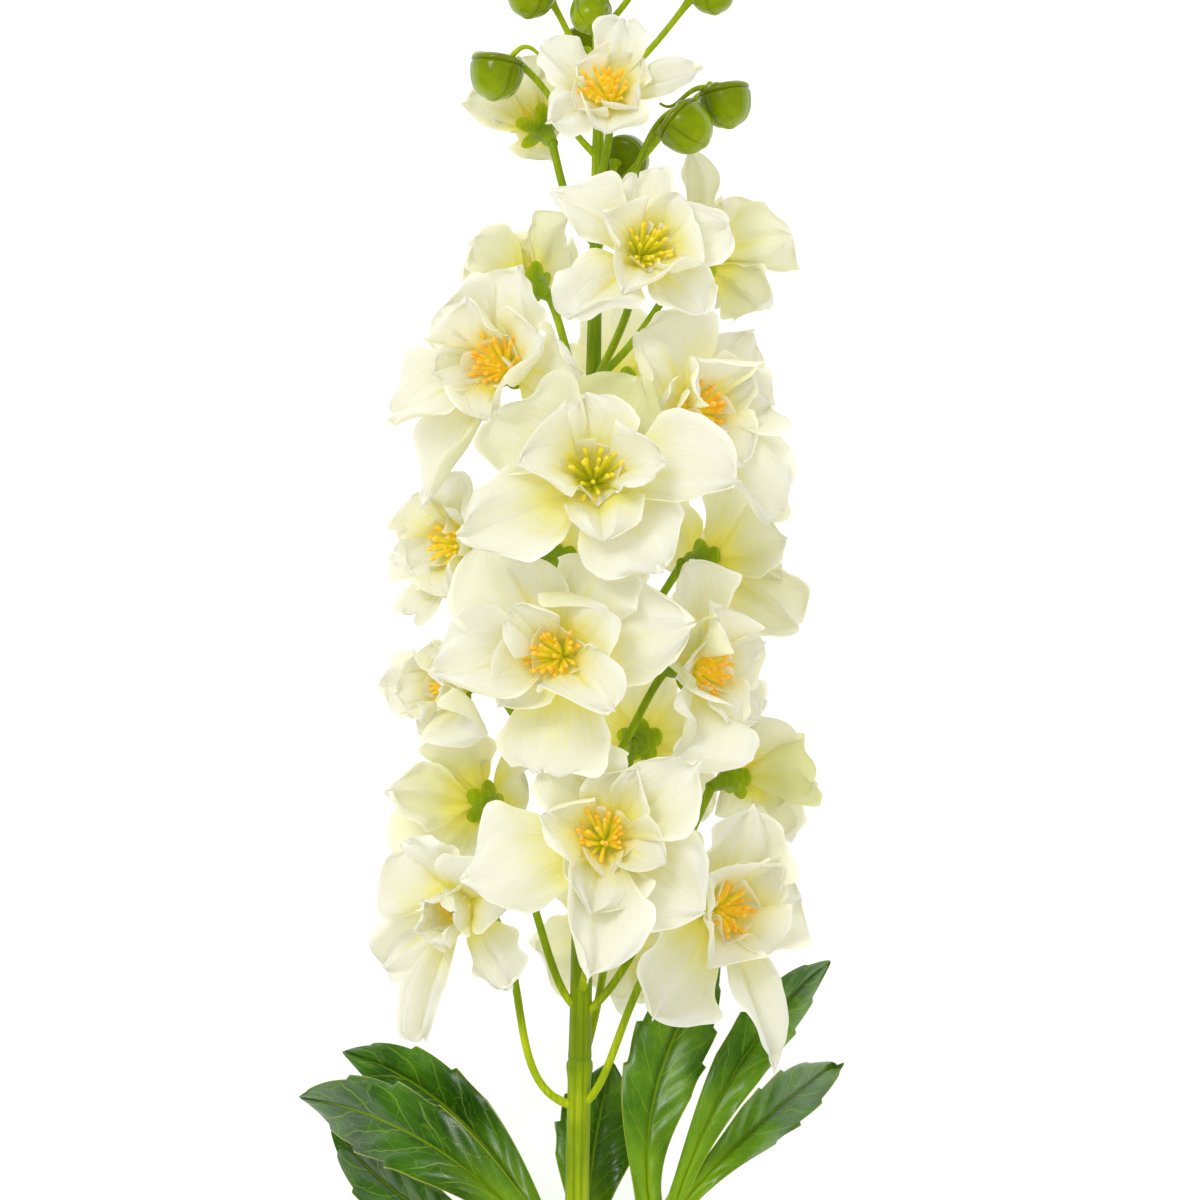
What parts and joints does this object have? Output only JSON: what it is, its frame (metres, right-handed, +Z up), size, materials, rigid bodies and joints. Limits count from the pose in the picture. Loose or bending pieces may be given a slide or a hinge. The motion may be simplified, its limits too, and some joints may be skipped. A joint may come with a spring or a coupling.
{
  "type": "delphinium flower spike",
  "caption": "Cut delphinium stem lying on its back: a tall spike of double cream blooms on short green stalks, closed buds towards the tip, and three lobed leaves below.",
  "frame": {"origin": "on the table below the middle of the spike's bounding box", "axes": "+Y along the stalk from its cut end to its tip, +Z up from the table through the side with the open blooms, +X to the right seen from above"},
  "size_m": [0.1767, 0.5408, 0.1304],
  "materials": {
    "stem": "satin yellow-green",
    "leaf": "dark green with a soft sheen",
    "petal": "soft cream, yellow-green towards the base",
    "stamen": "golden yellow"
  },
  "bodies": {
    "root": {"bloom_back_centre_petals": "petal", "bloom_back_centre_stamens": "stamen", "bloom_back_high_petals": "petal", "bloom_back_high_stamens": "stamen", "bloom_back_low_petals": "petal", "bloom_back_low_stamens": "stamen", "bloom_back_middle_petals": "petal", "bloom_back_middle_stamens": "stamen", "bloom_bottom_left_petals": "petal", "bloom_bottom_left_stamens": "stamen", "bloom_bottom_right_petals": "petal", "bloom_bottom_right_stamens": "stamen", "bloom_centre_front_petals": "petal", "bloom_centre_front_stamens": "stamen", "bloom_left_high_petals": "petal", "bloom_left_high_stamens": "stamen", "bloom_left_low_petals": "petal", "bloom_left_low_stamens": "stamen", "bloom_left_middle_petals": "petal", "bloom_left_middle_stamens": "stamen", "bloom_left_under_petals": "petal", "bloom_left_under_stamens": "stamen", "bloom_low_front_petals": "petal", "bloom_low_front_stamens": "stamen", "bloom_middle_front_petals": "petal", "bloom_middle_front_stamens": "stamen", "bloom_right_centre_petals": "petal", "bloom_right_centre_stamens": "stamen", "bloom_right_high_petals": "petal", "bloom_right_high_stamens": "stamen", "bloom_right_middle_petals": "petal", "bloom_right_middle_stamens": "stamen", "bloom_right_under_petals": "petal", "bloom_right_under_stamens": "stamen", "bloom_top_front_petals": "petal", "bloom_top_front_stamens": "stamen", "bloom_top_left_petals": "petal", "bloom_top_left_stamens": "stamen", "bloom_upper_front_petals": "petal", "bloom_upper_front_stamens": "stamen", "bloom_upper_left_petals": "petal", "bloom_upper_left_stamens": "stamen", "bloom_upper_right_petals": "petal", "bloom_upper_right_stamens": "stamen", "leaf_back": "leaf", "leaf_left": "leaf", "leaf_right": "leaf", "stem": "stem"}
  },
  "joints": []
}
